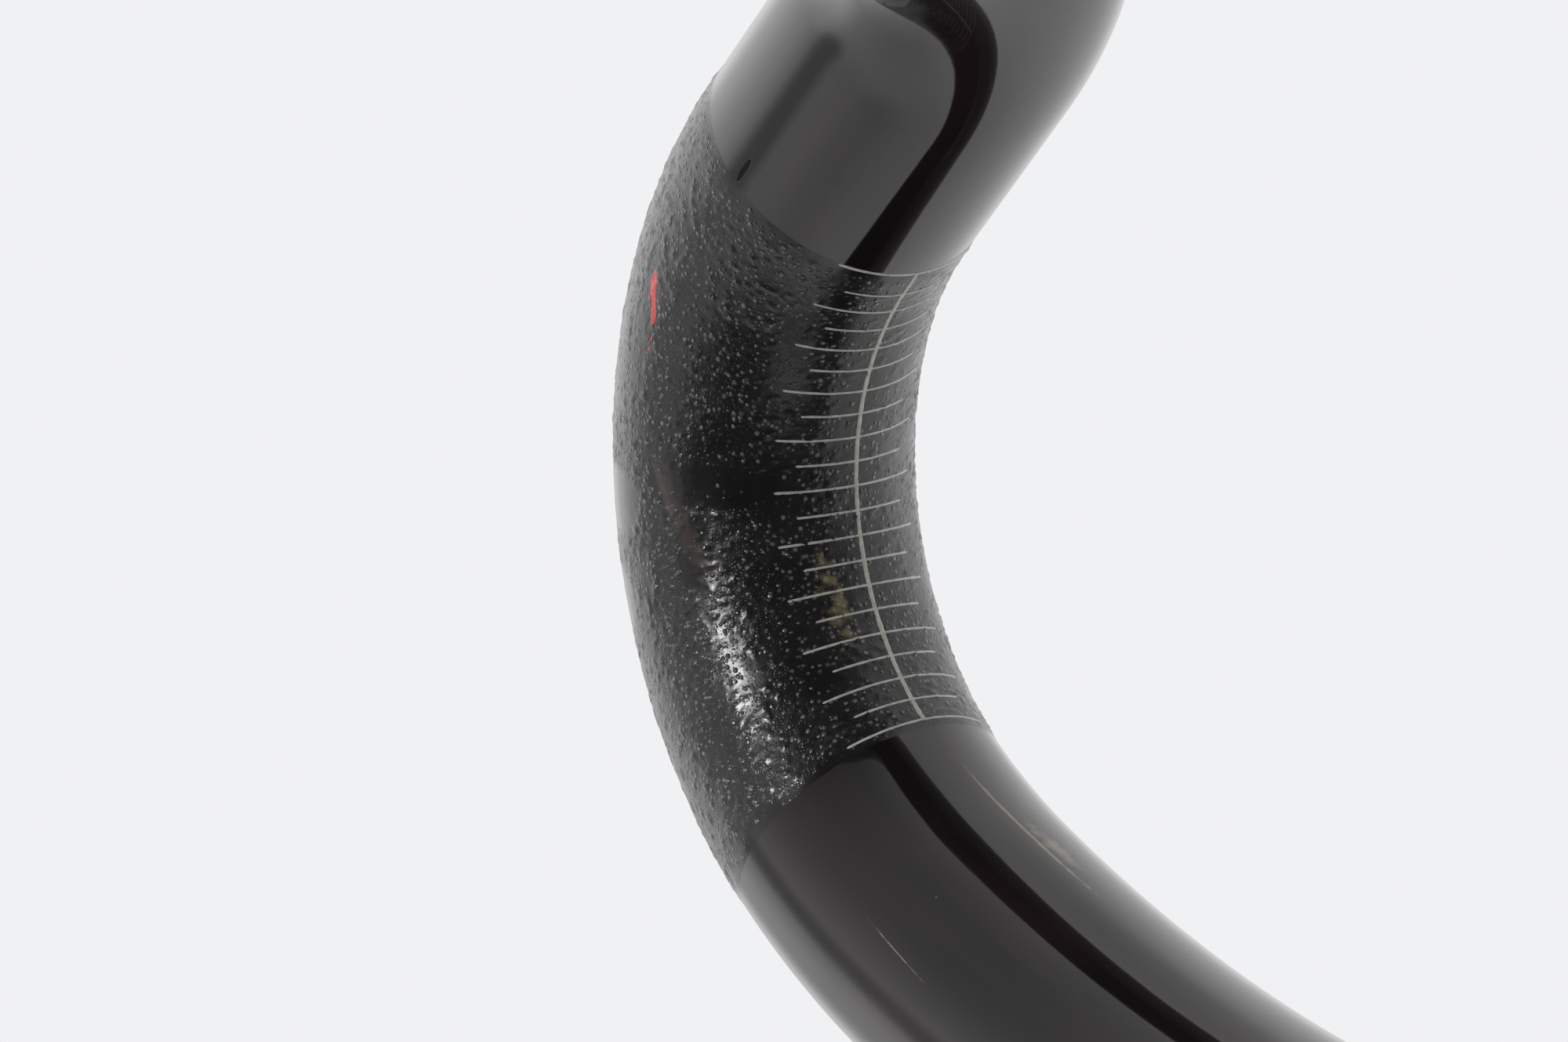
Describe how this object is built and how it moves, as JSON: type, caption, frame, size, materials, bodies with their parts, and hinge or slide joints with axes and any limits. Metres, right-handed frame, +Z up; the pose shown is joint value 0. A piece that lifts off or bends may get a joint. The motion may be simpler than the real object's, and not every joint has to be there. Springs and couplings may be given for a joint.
{
  "type": "drop handlebar",
  "caption": "Compact carbon drop handlebar for a road bicycle, with gritted stem and lever clamp bands, printed set-up scales and expanding bar-end plugs.",
  "frame": {"origin": "middle of the stem clamp, on the bar's axis", "axes": "+X to the rider's right, +Y forward in the riding direction, +Z up, in riding position"},
  "size_m": [0.4738, 0.1592, 0.1611],
  "materials": {
    "carbon_gloss": "carbon laminate under a thick glossy clear coat, near black with a warm tint",
    "carbon_raw": "bare carbon laminate, inside surfaces",
    "grit_coat": "clear coat filled with hard grit, rough and speckled with small glints, worn smooth in places",
    "scale_ink": "thin light grey print",
    "cap_black": "fine-textured moulded black plastic",
    "zinc_steel": "zinc plated",
    "expander_rubber": "matt moulded rubber",
    "nut_alloy": "turned, as machined",
    "screw_steel": "black oxide steel"
  },
  "bodies": {
    "bar": {"centre_section": "carbon_gloss", "clamp_insert": "carbon_raw", "stem_clamp_grit": "grit_coat", "stem_scale": "scale_ink", "left_drop": "carbon_gloss", "left_joint_sleeve": "carbon_raw", "left_lever_grit": "grit_coat", "left_lever_scale": "scale_ink", "right_drop": "carbon_gloss", "right_joint_sleeve": "carbon_raw", "right_lever_grit": "grit_coat", "right_lever_scale": "scale_ink"},
    "left_plug": {"left_plug_cap": "cap_black", "left_plug_washer": "zinc_steel", "left_expander_sleeve": "expander_rubber"},
    "left_screw": {"left_plug_screw": "screw_steel"},
    "left_nut": {"left_wedge_nut": "nut_alloy"},
    "right_plug": {"right_plug_cap": "cap_black", "right_plug_washer": "zinc_steel", "right_expander_sleeve": "expander_rubber"},
    "right_screw": {"right_plug_screw": "screw_steel"},
    "right_nut": {"right_wedge_nut": "nut_alloy"}
  },
  "joints": [
    {"name": "left_plug_pull", "type": "slide", "parent": "bar", "child": "left_plug", "axis": [-0.0306, -0.9923, -0.1203], "range_m": [0, 0.04]},
    {"name": "left_nut_travel", "type": "slide", "parent": "left_plug", "child": "left_nut", "axis": [0.0306, 0.9923, 0.1203], "range_m": [0, 0.0024]},
    {"name": "left_screw_turn", "type": "hinge", "parent": "left_plug", "child": "left_screw", "pos_m": [-0.225, -0.06565, -0.13336], "axis": [-0.0306, -0.9923, -0.1203], "range_deg": [0, 1081]},
    {"name": "right_plug_pull", "type": "slide", "parent": "bar", "child": "right_plug", "axis": [0.0306, -0.9923, -0.1203], "range_m": [0, 0.04]},
    {"name": "right_nut_travel", "type": "slide", "parent": "right_plug", "child": "right_nut", "axis": [-0.0306, 0.9923, 0.1203], "range_m": [0, 0.0024]},
    {"name": "right_screw_turn", "type": "hinge", "parent": "right_plug", "child": "right_screw", "pos_m": [0.225, -0.06565, -0.13336], "axis": [0.0306, -0.9923, -0.1203], "range_deg": [0, 1081]}
  ],
  "couplings": [
    {"joint": "left_screw_turn", "follows": "left_nut_travel", "rad_per_m": 7854},
    {"joint": "right_screw_turn", "follows": "right_nut_travel", "rad_per_m": 7854}
  ]
}
